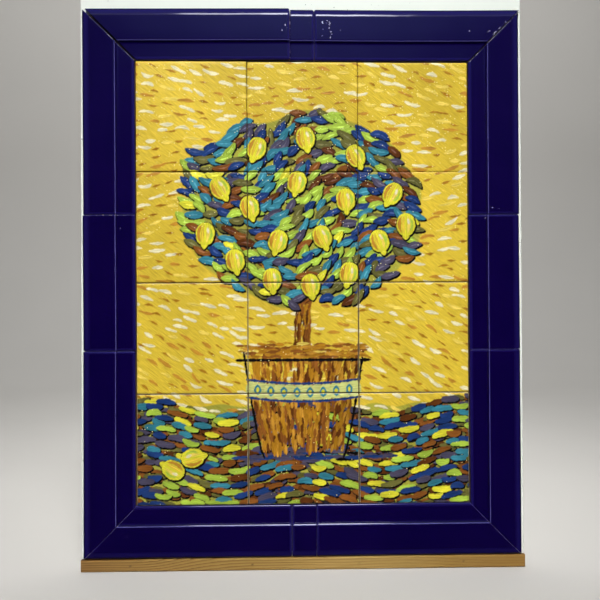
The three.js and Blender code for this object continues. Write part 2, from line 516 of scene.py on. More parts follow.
@dataclass(frozen=True)
class PlanedPine(Finish):
    """Planed bare pine: pale straw early wood and darker resinous late wood in thin lines,
    matt, a little dusty.

    The lines give each shade of a growth ring by its place in the ring. The tones are painted
    shade from the left end to the right, in linear light: the wood is darker towards both ends.
    """

    name: str = "planed_pine"
    early: str = "#b59756"
    pin: str = "#4a3018"
    lines: tuple[tuple[float, str], ...] = (
        (0.0, "#b59756"), (0.4, "#b59756"), (0.76, "#9d7836"), (0.88, "#745322"),
        (0.97, "#b59756"))
    # Painted shade along the batten: brightest near its middle, darker towards both ends.
    painted_shade_tones: tuple[tuple[float, float, float, float], ...] = (
        (0.0, 0.58, 0.47, 0.43), (0.18, 0.72, 0.65, 0.58), (0.38, 0.77, 0.72, 0.64),
        (0.56, 0.9, 0.87, 0.86), (0.72, 0.81, 0.77, 0.7), (0.82, 0.68, 0.6, 0.46),
        (1.0, 0.67, 0.54, 0.39))
    half_length: float = 0.3
    roughness: float = 0.62
    ior: float = 1.5
    fibre_mm: float = 0.5
    fibre_run_mm: float = 1000 / 14
    fibre_depth_mm: float = 0.2

    def looks(self, tree: Tree, place: Socket) -> dict[str, object]:
        """Make the wood from the layers rings and dent.

        Args:
            tree: The material's node tree.
            place: Object coordinates.

        Returns:
            The shader's inputs.
        """
        rings, dent = (add_node(tree, "ShaderNodeAttribute", attribute_name=layer).outputs["Fac"]
                       for layer in ("rings", "dent"))
        stretch = add_node(tree, "ShaderNodeMapping", {"Vector": place, "Scale": tuple(
            1 / (size * MM) for size in (self.fibre_run_mm, self.fibre_mm, self.fibre_mm))})
        fibre = add_node(tree, "ShaderNodeTexNoise", {
            "Vector": stretch, "Scale": 1.0, "Detail": 3.0})
        shift = add_node(tree, "ShaderNodeMath", {0: fibre, 1: 0.35, 2: rings},
                         operation="MULTIPLY_ADD")
        phase = add_node(tree, "ShaderNodeMath", {0: shift}, operation="FRACT")
        run = add_node(tree, "ShaderNodeSeparateXYZ", {"Vector": place}).outputs["X"]
        span, plain, mottle = (add_node(tree, "ShaderNodeMapRange", {
            "Value": value, "From Min": start, "From Max": end, "To Min": low, "To Max": high})
            for value, start, end, low, high in (
                (run, -self.half_length, self.half_length, 0.0, 1.0),
                (run, -0.08, 0.16, 0.0, 0.62), (fibre, 0.0, 1.0, 0.8, 1.16)))
        ramps = []
        for value, stops in ((phase, [(spot, *linear(shade)[:3]) for spot, shade in self.lines]),
                             (span, self.painted_shade_tones)):
            ramp = add_node(tree, "ShaderNodeValToRGB", {"Fac": value})
            places = ramp.color_ramp.elements
            places[1].position = stops[-1][0]
            for element, (_, *tone) in ((places[0], stops[0]), (places[1], stops[-1])):
                element.color = (*tone, 1.0)
            for spot, *tone in stops[1:-1]:
                places.new(spot).color = (*tone, 1.0)
            ramps.append(ramp)
        grain = add_node(tree, "ShaderNodeMix", {
            "Factor": plain, "A": ramps[0], "B": linear(self.early)}, data_type="RGBA")
        # Painted shade: the grain is darkened towards both ends of the batten.
        shaded_grain = add_node(tree, "ShaderNodeVectorMath", {0: grain, 1: ramps[1]},
                        operation="MULTIPLY")
        colour = add_node(tree, "ShaderNodeVectorMath", {0: shaded_grain, "Scale": mottle},
                          operation="SCALE")
        marked = add_node(tree, "ShaderNodeMix", {
            "Factor": dent, "A": colour, "B": linear(self.pin)}, data_type="RGBA")
        bump = add_node(tree, "ShaderNodeBump", {
            "Height": fibre, "Strength": 0.7, "Distance": self.fibre_depth_mm * MM})
        return {"Base Color": marked, "Roughness": self.roughness, "IOR": self.ior,
                "Normal": bump}


@dataclass(frozen=True)
class StudioPaper(Finish):
    """Pale background paper: matt, faintly mottled."""

    name: str = "studio_paper"
    light: str = "#cfccc6"
    shade: str = "#c6c3bd"
    cloud_mm: float = 1000 / 1.5
    roughness: float = 0.9
    specular: float = 0.1

    def looks(self, tree: Tree, place: Socket) -> dict[str, object]:
        """Make the mottled paper.

        Args:
            tree: The material's node tree.
            place: Object coordinates.

        Returns:
            The shader's inputs.
        """
        cloud = add_node(tree, "ShaderNodeTexNoise", {
            "Vector": place, "Scale": 1 / (self.cloud_mm * MM)})
        colour = add_node(tree, "ShaderNodeMix", {
            "Factor": cloud, "A": linear(self.light), "B": linear(self.shade)},
            data_type="RGBA")
        return {"Base Color": colour, "Roughness": self.roughness,
                "Specular IOR Level": self.specular}


@dataclass
class BackingBoard:
    """The white board: its CAD solid has the right shape and keeps it."""

    node: str = "backing_board"
    finish: WhiteLaminate = field(default_factory=WhiteLaminate)

    def build(self) -> None:
        """Give the CAD solid the laminate."""
        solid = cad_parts[self.node]
        solid.data.materials.clear()
        solid.data.materials.append(self.finish.build())
        LOG.info("%s: CAD solid with %s", self.node, type(self.finish).__name__)


@dataclass
class LedgeBatten:
    """The planed pine strip along the board's lower edge, with the marks of its pins."""

    length: float = 600.0
    height: float = 16.3
    proud: float = 8.0
    bottom: float = -400.0
    edge: float = 1.2
    taper: float = 0.9
    taper_start: float = 120.0
    taper_run: float = 420.0
    wear: float = 0.12
    pins: tuple[float, ...] = (-234.0, -70.0, 74.0, 215.0)
    pin_radius: float = 1.1
    pin_depth: float = 0.25
    ring_pitch: float = 3.4
    spacing: Pair = (2.6, 0.8)
    finish: PlanedPine = field(default_factory=PlanedPine)

    def rounded(self, half: float, spacing: float) -> Array:
        """Coordinates across a face, closer together where its two edges are rounded.

        Args:
            half: Half the face's size.
            spacing: Distance between the inner coordinates.

        Returns:
            Coordinates from -half to half.
        """
        corner = self.edge * (1 - np.cos(np.linspace(0, math.pi / 2, 5)))
        steps = max(2, round(2 * (half - self.edge) / spacing))
        inner = np.linspace(-half + self.edge, half - self.edge, steps + 1)
        return np.concatenate([-half + corner[:-1], inner, half - corner[-2::-1]])

    def build(self) -> None:
        """Make the batten.

        The face is flat, and within the edge radius of its rim it falls along a quarter circle
        of the distance to the rim. Each pin is a round dent with a Gaussian section. The upper
        edge was sawn a little out of true: it falls evenly towards the left end.
        """
        x, z = np.meshgrid(self.rounded(self.length / 2, self.spacing[0]),
                           self.rounded(self.height / 2, self.spacing[1]))
        rim = np.minimum(self.length / 2 - np.abs(x), self.height / 2 - np.abs(z))
        short = self.edge - np.clip(rim, 0, self.edge)
        depth = self.proud - self.edge + np.sqrt(self.edge**2 - short**2)
        depth -= self.wear * (1 + ripple(x, z * 4, 26, 5)) * smooth_step(rim, 0, 1.5)
        dent = np.zeros_like(x)
        for pin in self.pins:
            away = np.hypot(x - pin, z - 0.4 * math.sin(pin))
            dent = np.maximum(dent, np.exp(-(away / self.pin_radius) ** 2))
        depth -= self.pin_depth * dent
        lower = self.taper * np.clip((self.taper_start - x) / self.taper_run, 0, 1)
        up = z - lower * (z / self.height + 0.5) + self.bottom + self.height / 2
        front = np.stack([x, BOARD_FACE - depth, up], axis=-1)
        piece = relief_slab("pine_ledge_batten", front, BOARD_FACE,
                            {"rings": self.rings(x, z), "dent": dent})
        dress(piece, "ledge_batten", self.finish.build())

    def rings(self, x: Array, z: Array) -> Array:
        """Growth rings: nearly straight lines that climb across the face at one long flame.

        Args:
            x: Along the batten.
            z: Up the batten's face.

        Returns:
            The ring number, whose whole numbers are the dark lines.
        """
        rise = 15 * (1 - smooth_step(x, -205, -65)) + 5 * smooth_step(x, 120, 290)
        pitch = self.ring_pitch * (1 + 0.5 * np.exp(-((x + 130) / 60) ** 2))
        waver = 1.3 * ripple(x, z * 3, 210, 9) + 0.8 * ripple(x, z, 90, 12)
        return (z + rise + waver) / pitch


class Cut(Enum):
    """How one end of a border tile was made."""

    MITRE = "mitre"
    ROUND = "round"
    SAWN = "sawn"


@dataclass(frozen=True)
class BorderSection:
    """The section across a border tile, from its outer side to the picture."""

    width: float = 69.5
    band_height: float = 11.0
    lip_height: float = 8.0
    shoulder_width: float = 13.2
    shoulder_height: float = 4.0
    crown: float = 0.9
    step_start: float = 42.7
    step_slopes: tuple[Pair, ...] = (
        (0.0, 0.0), (0.9, 0.61), (2.3, 0.67), (2.6, 1.355), (3.35, 1.355), (3.6, 0.2),
        (5.2, 0.12), (5.5, 0.0))
    lip_slopes: tuple[Pair, ...] = (
        (0.0, 0.0), (0.2, 0.6), (1.2, 0.68), (1.45, 1.8), (1.6, 4.0))
    # Pale bands, partly thinner glaze and partly painted reflection: along the lip's rim, and lines
    # on the step's edge and the shoulder.
    rim_thin_and_sheen: float = 0.4
    rim_reach: Pair = (5.0, 1.6)
    thin_and_sheen_lines: tuple[tuple[float, float, float], ...] = ((0.88, 43.5, 0.5), (0.34, 5.0, 3.2))

    def line(self) -> tuple[Array, Array, Array]:
        """Work out the section.

        The shoulder is a quarter ellipse, x = a(1 - cos t) and y = top - b(1 - sin t). The band
        is crowned: it falls by the square of the distance from its inner edge. The step and the
        inner lip fall by the running sum of their slopes. The glaze runs thin and pale at the rim,
        and along lines with a Gaussian section: their strength, place and spread. These pale bands
        are partly thinner glaze and partly painted reflection.

        Returns:
            Distances from the outer side, heights, and how pale the glaze is there, as thinner
            glaze and painted reflection.
        """
        t = np.linspace(0, math.pi / 2, 20)
        shoulder = self.shoulder_width * (1 - np.cos(t))
        band = np.linspace(self.shoulder_width, self.step_start, 19)[1:-1]
        step = np.linspace(0, self.step_slopes[-1][0], 21)
        lip = np.linspace(0, self.lip_slopes[-1][0], 8)
        lip_start = self.width - lip[-1]
        ledge = np.linspace(self.step_start + step[-1], lip_start, 15)[1:-1]
        across = np.concatenate([shoulder, band, self.step_start + step, ledge,
                                 lip_start + lip])
        fall = falling(step, self.step_slopes)
        fall *= (self.band_height - self.lip_height) / fall[-1]
        up = self.band_height - np.concatenate([
            self.shoulder_height * (1 - np.sin(t)), 0 * band, fall,
            fall[-1] + 0 * ledge, fall[-1] + falling(lip, self.lip_slopes)])
        slope = np.clip((self.step_start - across) / (self.step_start - self.shoulder_width),
                        0, None)
        up -= self.crown * slope**2
        # Painted reflection and thinner glaze: pale bands on the lip's rim and along the step's
        # edge and the shoulder.
        start, end = self.width - np.array(self.rim_reach)
        thin = self.rim_thin_and_sheen * smooth_step(across, start, end)
        for most, place, spread in self.thin_and_sheen_lines:
            thin = np.maximum(thin, most * np.exp(-((across - place) / spread) ** 2))
        return across, up, thin


@dataclass(frozen=True)
class BorderTile:
    """One border tile.

    It was laid by hand with a shift outward and along its side, and with a turn in degrees. Its
    cut edges have chips about this large and a hairline of thin glaze this strong. The fire left
    it longer at its two ends, wider at its outer and inner side, and bowed at its middle. Its
    mitre reaches past the true line at its outer and inner side. All sizes are in millimetres.
    """

    name: str
    length: float
    start: Cut
    end: Cut
    outward: float = 0.0
    along: float = 0.0
    turn: float = 0.0
    chips: float = 0.12
    stretch: Pair = (0.33, 0.33)
    hairline: float = 0.6
    widen: Pair = (0.0, 0.0)
    bow: float = 0.0
    reach: Pair = (0.0, 0.0)


@dataclass(frozen=True)
class BorderSide:
    """One side of the border, its tiles in order anticlockwise as seen from the front."""

    angle: float
    run: float
    across: float
    tiles: tuple[BorderTile, ...]


CORNER = 278.0
WIDE, TALL = BORDER_SIZE
FILLER_ACROSS, FILLER_UP = (size - 2 * (CORNER + TILE_JOINT) for size in BORDER_SIZE)

# The sides from the bottom one on. A tile's cuts are followed by outward, along and turn.
BORDER_SIDES = (
    BorderSide(0, WIDE, TALL, (
        BorderTile("frame_bottom_left", CORNER, Cut.MITRE, Cut.ROUND, 0.42,
                   hairline=0.85, widen=(0, 0.9)),
        BorderTile("frame_bottom_filler", FILLER_ACROSS, Cut.ROUND, Cut.SAWN, 0.5,
                   hairline=0.2, widen=(0, 0.75)),
        BorderTile("frame_bottom_right", CORNER, Cut.ROUND, Cut.MITRE, 0.1, turn=0.07,
                   hairline=0.85, widen=(0, 0.9), reach=(-0.6, -0.5)),
    )),
    BorderSide(90, TALL, WIDE, (
        BorderTile("frame_right_lower", CORNER, Cut.MITRE, Cut.ROUND, 0.6, turn=0.05,
                   hairline=0.1, reach=(0.6, 0.5)),
        BorderTile("frame_right_middle", FILLER_UP, Cut.SAWN, Cut.ROUND, 0.3, turn=0.2),
        BorderTile("frame_right_upper", CORNER, Cut.ROUND, Cut.MITRE, 0.6,
                   chips=0.58, hairline=0.1, reach=(-2.15, -2.35)),
    )),
    BorderSide(180, WIDE, TALL, (
        BorderTile("frame_top_right", CORNER, Cut.MITRE, Cut.ROUND, 0.86, -0.7, 0.17,
                   chips=0.0, stretch=(0, 1.1), hairline=0.0, widen=(0.2, 0), bow=-0.75,
                   reach=(2.1, 0.35)),
        BorderTile("frame_top_filler", FILLER_ACROSS, Cut.ROUND, Cut.SAWN, 0.35,
                   chips=0.6, hairline=0.1),
        BorderTile("frame_top_left", CORNER, Cut.ROUND, Cut.MITRE, 1.0, -1.9, 0.33,
                   chips=0.0, stretch=(-1.5, 0), hairline=0.0, widen=(0.75, 0)),
    )),
    BorderSide(270, TALL, WIDE, (
        BorderTile("frame_left_upper", CORNER, Cut.MITRE, Cut.ROUND, 0.8, turn=0.2,
                   chips=0.52, hairline=0.1, widen=(0.5, 0)),
        BorderTile("frame_left_middle", FILLER_UP, Cut.SAWN, Cut.ROUND, 0.4, turn=0.28,
                   chips=0.6, widen=(0.95, 0)),
        BorderTile("frame_left_lower", CORNER, Cut.ROUND, Cut.MITRE, 0.8, turn=-0.08,
                   hairline=0.0, widen=(0.65, 0), reach=(1.4, 0)),
    )),
)

# Rub marks and specks on the border: x and z in the row frame, half sizes across and up, in
# millimetres, and strength.
SCUFFS = np.array([
    (-27.3, 327.7, 0.6, 0.5, 0.84), (-27.0, 330.4, 0.6, 1.2, 0.55), (-22.6, 336.4, 0.9, 5.4, 0.54),
    (-20.6, 331.0, 1.6, 5.0, 0.5), (27.8, 338.8, 1.0, 4.2, 0.63), (28.2, 329.5, 0.7, 1.4, 0.6),
    (27.6, 321.4, 1.2, 1.4, 0.67), (24.0, 324.0, 1.4, 1.4, 0.42), (32.5, 337.6, 2.8, 1.6, 0.5),
    (34.2, 341.0, 1.0, 1.0, 0.6), (37.6, 337.6, 1.1, 4.4, 0.64), (37.0, 331.6, 0.8, 2.0, 0.62),
    (38.8, 326.8, 0.8, 2.4, 0.62), (40.2, 322.8, 0.9, 1.4, 0.66), (38.6, 318.8, 0.9, 1.4, 0.66),
    (8.2, 338.2, 0.9, 0.7, 0.5), (52.0, 328.0, 1.0, 1.4, 0.58), (227.6, 327.9, 0.8, 1.2, 0.64),
    (256.2, 328.9, 0.8, 0.9, 0.7), (263.2, 327.3, 1.2, 1.2, 0.68), (260.4, 323.6, 1.2, 1.3, 0.66),
    (252.6, 326.4, 1.0, 1.0, 0.6), (269.0, 333.0, 3.4, 3.4, 0.57), (277.5, 340.5, 2.4, 2.4, 0.55),
    (256.8, 88.0, 4.2, 0.8, 0.54), (263.6, 86.3, 4.8, 0.8, 0.52), (247.8, 73.6, 0.9, 0.9, 0.62),
    (-246.0, 60.0, 2.0, 9.0, 0.45), (-236.0, -352.0, 15.0, 5.0, 0.43),
    (-246.0, -349.0, 5.0, 3.0, 0.46),
])

# How much wider than its mark a scuff's soft zone is, and how far from an end nothing of its cut
# shows any more, in millimetres.
SCUFF_FRINGE = 0.9
FAR_AWAY = 9.0


@dataclass
class Border:
    """The twelve cobalt relief tiles round the picture."""

    section: BorderSection = field(default_factory=BorderSection)
    end_radius: float = 2.5
    mitre_setback: float = 0.12
    spacing: float = 1.7
    chip_depth: float = 0.4
    wave: float = 0.07
    # Pale band over a rounded end: partly thinner glaze, partly painted highlight.
    end_thin_and_sheen: float = 0.46
    round_stations: tuple[float, ...] = (0.9, 1.9)
    cut_stations: tuple[float, ...] = (0.0, 0.3, 0.65, 1.1, 1.8)
    chip_waves: tuple[tuple[float, float, int], ...] = ((1.0, 5.0, 0), (0.8, 2.2, 40))
    finish: CobaltGlaze = field(default_factory=CobaltGlaze)

    def build(self) -> None:
        """Make the twelve tiles, each in its place."""
        glaze = self.finish.build()
        for side in BORDER_SIDES:
            start = -side.run / 2
            for tile in side.tiles:
                middle = start + tile.length / 2 + tile.along
                dress(self.tile(side, tile, middle), tile.name, glaze)
                start += tile.length + TILE_JOINT

    def stations(self, cut: Cut) -> Array:
        """Distances from an end at which rings of points lie, from the end inward.

        Args:
            cut: How the end was made.

        Returns:
            Distances in millimetres: on a quarter circle at a rounded end, close to the edge
            at a cut one.
        """
        if cut is Cut.ROUND:
            round_part = self.end_radius * (1 - np.cos(np.linspace(0, math.pi / 2, 7)))
            return np.append(round_part, self.end_radius + np.array(self.round_stations))
        return np.array(self.cut_stations)

    def tile(self, side: BorderSide, tile: BorderTile, middle: float) -> bpy.types.Object:
        """Make one tile.

        Each row keeps its distance from the outer side, and runs from the start cut to the end
        cut; a mitre moves the end by that same distance. Towards a rounded end the height and
        width shrink along a quarter circle, slow waves of the glaze lower the face by up to
        about 0.15 mm, and chips sink into it. On both sides of the step the rows spread by the
        tile's own extra widths, and the whole tile bows sideways by a parabola along its length.

        Args:
            side: The side that the tile belongs to.
            tile: The tile.
            middle: Where the tile's middle lies along its side.

        Returns:
            The tile in the row frame.
        """
        across, up, thin = self.section.line()
        first, last = self.stations(tile.start), self.stations(tile.end)
        steps = max(2, round((tile.length - first[-1] - last[-1]) / self.spacing))
        inner = np.linspace(0, 1, steps + 1)[1:-1]
        past = np.interp(across, (0, self.section.width), tile.reach)
        setback = (across + self.mitre_setback - past)[:, None]
        short = [setback if cut is Cut.MITRE else 0 * setback - longer
                 for cut, longer in zip((tile.start, tile.end), tile.stretch)]
        low, high = short[0] - tile.length / 2, tile.length / 2 - short[1]
        inside = (low + first[-1]) + inner * ((high - last[-1]) - (low + first[-1]))
        along = np.concatenate([low + first, inside, high - last[::-1]], axis=1)
        drop = np.concatenate([self.drop(tile.start, first), 0 * inner,
                               self.drop(tile.end, last)[::-1]])
        seed = sum(map(ord, tile.name))
        bare, edge_thin_and_sheen = self.edges(tile, first, last, len(inner), across, seed)
        height = up[:, None] * (1 - drop / self.section.band_height)
        height -= self.chip_depth * bare
        height -= self.wave * (1 + ripple(along, across[:, None], 55, seed))
        height = np.minimum(height, self.section.band_height)
        width = self.section.width
        edge = self.section.step_start
        grown = across - tile.widen[0] * np.clip(1 - across / edge, 0, 1)
        grown = grown + tile.widen[1] * np.clip((across - edge) / (width - edge), 0, 1)
        inward = width / 2 + (grown[:, None] - width / 2) * (1 - 2 * drop / width)
        inward = inward - tile.bow * (1 - (2 * along / tile.length) ** 2)
        x, z = self.place(side, tile, middle, along, inward - width / 2)
        front = np.stack([x, BOARD_FACE - height, z], axis=-1)
        # Painted shade: the glaze darkens over the outer 1.5 mm of the shoulder, and turns matt
        # there.
        outer_shade = 1 - smooth_step(across, 0.15, 1.5)
        return relief_slab(tile.name.replace("frame", "cobalt"), front, BOARD_FACE, {
            "thin": np.maximum(thin[:, None], edge_thin_and_sheen), "bare": bare,
            "scuff": self.scuffs(x, z), "outer_shade": outer_shade[:, None] + 0 * bare})

    def drop(self, cut: Cut, stations: Array) -> Array:
        """How far the face has fallen at each station: radius minus the circle's height.

        Args:
            cut: How the end was made.
            stations: Distances from the end.

        Returns:
            Falls in millimetres, zero at a cut end.
        """
        if cut is not Cut.ROUND:
            return 0 * stations
        short = np.maximum(self.end_radius - stations, 0)
        return self.end_radius - np.sqrt(self.end_radius**2 - short**2)

    def edges(self, tile: BorderTile, first: Array, last: Array, between: int,
              across: Array, seed: int) -> tuple[Array, Array]:
        """Bare body along cut edges, ragged and chipped, and a pale band over rounded ends that is
        partly thinner glaze and partly painted highlight.

        Args:
            tile: The tile.
            first: Stations at the start.
            last: Stations at the end.
            between: Number of stations between them.
            across: Distances from the outer side.
            seed: Chooses the chips.

        Returns:
            Two arrays (rows, columns) from 0 to 1: bare, thin.
        """
        columns = len(first) + between + len(last)
        bare = np.zeros((len(across), columns))
        thin = np.zeros_like(bare)
        for cut, stations, number in ((tile.start, first, 1), (tile.end, last, 2)):
            away = np.append(stations, np.full(columns - len(stations), FAR_AWAY))
            away = away if number == 1 else away[::-1]
            if cut is Cut.ROUND:
                # Painted highlight and thinner glaze: a pale band over the rounded end.
                thin = np.maximum(thin, self.end_thin_and_sheen * (1 - smooth_step(away, 0.6, 4.2)))
                continue
            ragged = sum(size * ripple(across, 0 * across, wave, seed + number + shift)
                         for size, wave, shift in self.chip_waves)
            reach = 0.5 * tile.chips * (1 + np.clip(ragged, -1, 1))
            level = 0.5 * (1 - smooth_step(away - reach[:, None], -0.1, 0.35))
            bare = np.maximum(bare, level * (tile.chips > 0))
            thin = np.maximum(thin, tile.hairline * (1 - smooth_step(away, 0.1, 0.75)))
        return bare, thin

    def place(self, side: BorderSide, tile: BorderTile, middle: float, along: Array,
              inward: Array) -> tuple[Array, Array]:
        """Turn a tile's own coordinates to the row frame.

        Args:
            side: The side that the tile belongs to.
            tile: The tile, with its small shift and turn.
            middle: Where the tile's middle lies along its side.
            along: Distance along the side from the tile's middle.
            inward: Distance inward from the tile's middle.

        Returns:
            X and Z in millimetres.
        """
        lay = math.radians(side.angle)
        turn = lay + math.radians(tile.turn)
        depth = (self.section.width - side.across) / 2 - tile.outward
        x0 = middle * math.cos(lay) - depth * math.sin(lay)
        z0 = BORDER_MIDDLE + middle * math.sin(lay) + depth * math.cos(lay)
        x = x0 + along * math.cos(turn) - inward * math.sin(turn)
        z = z0 + along * math.sin(turn) + inward * math.cos(turn)
        return x, z

    def scuffs(self, x: Array, z: Array) -> Array:
        """Soft zones where rub marks lie: the strongest of Gaussian spots, each a little wider
        than its mark.

        Args:
            x: X of the points.
            z: Z of the points.

        Returns:
            Strengths from 0 to 1.
        """
        dx = (x[..., None] - SCUFFS[:, 0]) / (SCUFFS[:, 2] + SCUFF_FRINGE)
        dz = (z[..., None] - SCUFFS[:, 1]) / (SCUFFS[:, 3] + SCUFF_FRINGE)
        return (SCUFFS[:, 4] * np.exp(-(dx**2 + dz**2))).max(axis=-1)


class Pigment(Enum):
    """Glaze colours on the painted tiles, as sRGB hex values."""

    MAIZE = "#dfc03c"
    STRAW = "#ecd05c"
    CREAM = "#e9dfb2"
    OCHRE = "#a8751d"
    AMBER = "#c08a2e"
    RUST = "#85501f"
    UMBER = "#5c3213"
    LEMON = "#ddd636"
    LIME = "#a6c243"
    CELADON = "#c6ca78"
    MOSS = "#a9a63e"
    NAVY = "#203a70"
    TEAL = "#377f90"
    SLATE = "#4d485c"
    OLIVE = "#676430"
    INK = "#14110e"
    BODY = "#c2b695"

    def light(self) -> Array:
        """Return the pigment's linear colour."""
        return np.array(linear(self.value)[:3])


@dataclass
class Strokes:
    """Brush marks in painting order; every field is an array with one entry a mark."""

    x: Array
    z: Array
    angle: Array
    length: Array
    width: Array
    bend: Array
    point: Array
    lift: Array
    colour: Array
    seed: Array

    @classmethod
    def make(cls, x: Array, z: Array, angle: Array | float,
             length: Array | float, width: Array | float, colour: Array,
             seed: Array, bend: Array | float = 0.0,
             point: Array | float = 0.5, lift: Array | float = 0.16) -> "Strokes":
        """Spread single values over all marks.

        Args:
            x: Middles, in millimetres to the right of the picture's middle.
            z: Middles, in millimetres above the picture's middle.
            angle: Directions in radians.
            length: Lengths in millimetres.
            width: Widths in millimetres.
            colour: Linear colours (n, 3) or one (3,).
            seed: Numbers that set each mark's raggedness.
            bend: How far the middle bows sideways, in millimetres.
            point: 0.5 for blunt ends, about 1 for pointed ones.
            lift: Thickness of the glaze, in millimetres.

        Returns:
            The marks.
        """
        ones = np.ones(len(x))
        return cls(x * ones, z * ones, angle * ones, length * ones, width * ones, bend * ones,
                   point * ones, lift * ones, np.broadcast_to(colour, (len(x), 3)),
                   seed * ones)

    @classmethod
    def join(cls, parts: list["Strokes"]) -> "Strokes":
        """Return all marks of the parts, in order."""
        names = cls.__dataclass_fields__
        return cls(*(np.concatenate([getattr(part, name) for part in parts]) for name in names))

    def pick(self, chosen: Array) -> "Strokes":
        """Return the marks chosen by a mask or by indices."""
        return Strokes(*(getattr(self, name)[chosen] for name in self.__dataclass_fields__))

    def shadow(self, dx: float, dz: float, grow: float, pigment: Pigment) -> "Strokes":
        """Copy the marks to a dark underside: moved, grown and thin.

        Args:
            dx: Shift to the right, in millimetres.
            dz: Shift upward, in millimetres.
            grow: Extra length and width, in millimetres.
            pigment: The copy's colour.

        Returns:
            The marks to lay before these.
        """
        return Strokes.make(self.x + dx, self.z + dz, self.angle, self.length + grow,
                            self.width + grow, pigment.light(), self.seed + 0.7, self.bend,
                            self.point, 0.08)


def woven(parts: list[Strokes]) -> Strokes:
    """Interleave sets of equal length: first of each, then second of each, and so on.

    Args:
        parts: Sets of marks of equal length.

    Returns:
        All marks, in woven order.
    """
    joined = Strokes.join(parts)
    count = len(parts[0].x)
    order = np.arange(len(parts) * count).reshape(len(parts), count).T.ravel()
    return joined.pick(order)


@dataclass
class Canvas:
    """The glaze on one tile, on a grid of columns x and rows z in picture millimetres."""

    x: Array
    z: Array
    colour: Array
    height: Array
    flow: Array
    wavers: tuple[tuple[float, float, float], ...] = ((0.4, 0.42, 9.0), (0.22, 1.15, 23.0))
    soft_edge: float = 0.8
    streak_rate: float = 2.3
    streak_tone: float = 0.09
    drift_tone: float = 0.1
    relief: tuple[float, float, float] = (0.55, 0.6, 0.22)
    scraped: float = 0.65

    def lay(self, strokes: Strokes) -> None:
        """Lay every mark that reaches this tile.

        A mark's half width falls from its middle to its ends as (1 - u^2.4) to the power of its
        point, where u runs from -1 to 1 along it, and wavers by a few sines, each of a size,
        a rate and a phase. Inside, the glaze is thicker at the rim and streaked along the mark,
        and it takes up most of the relief that lay there.

        Args:
            strokes: Marks in painting order.
        """
        reach = strokes.length / 2 + strokes.width / 2 + np.abs(strokes.bend) + 1
        near = ((strokes.x + reach > self.x[0]) & (strokes.x - reach < self.x[-1])
                & (strokes.z + reach > self.z[0]) & (strokes.z - reach < self.z[-1]))
        for k in np.flatnonzero(near):
            self.mark(strokes, k, reach[k])

    def mark(self, strokes: Strokes, k: int, reach: float) -> None:
        """Lay one mark on the window of the grid round it.

        Args:
            strokes: All marks.
            k: The mark's number.
            reach: Half the window's size.
        """
        left, right = np.searchsorted(self.x, [strokes.x[k] - reach, strokes.x[k] + reach])
        low, high = np.searchsorted(self.z, [strokes.z[k] - reach, strokes.z[k] + reach])
        if left == right or low == high:
            return
        window = (slice(low, high), slice(left, right))
        dx = self.x[None, left:right] - strokes.x[k]
        dz = self.z[low:high, None] - strokes.z[k]
        cos, sin = math.cos(strokes.angle[k]), math.sin(strokes.angle[k])
        seed = strokes.seed[k]
        s = dx * cos + dz * sin
        u = np.clip(2 * s / strokes.length[k], -1, 1)
        t = dz * cos - dx * sin - strokes.bend[k] * (0.4 - u * u)
        waver = sum(size * np.sin(s * rate + seed * phase) for size, rate, phase in self.wavers)
        half = (strokes.width[k] / 2 + waver) * (1 - np.abs(u) ** 2.4) ** strokes.point[k]
        over = np.clip((half - np.abs(t)) / self.soft_edge + 0.5, 0, 1) * (half > 0.1)
        rim = np.clip(np.abs(t) / np.maximum(half, 0.3), 0, 1)
        streak = np.sin(t * self.streak_rate + seed * 11 + np.sin(s * 0.2 + seed))
        tone = 1 + self.streak_tone * streak + self.drift_tone * np.sin(u * 2 + seed * 5)
        level, bulge, ridge = self.relief
        thick = strokes.lift[k] * (level + bulge * rim**2 + ridge * streak)
        self.colour[window] += over[..., None] * (
            strokes.colour[k] * tone[..., None] - self.colour[window])
        self.height[window] += over * (thick - self.scraped * self.height[window])
        chosen = over > 0.5
        marks = np.stack([s, t, np.full_like(s, seed * 31)], axis=-1)
        self.flow[window][chosen] = marks[chosen]


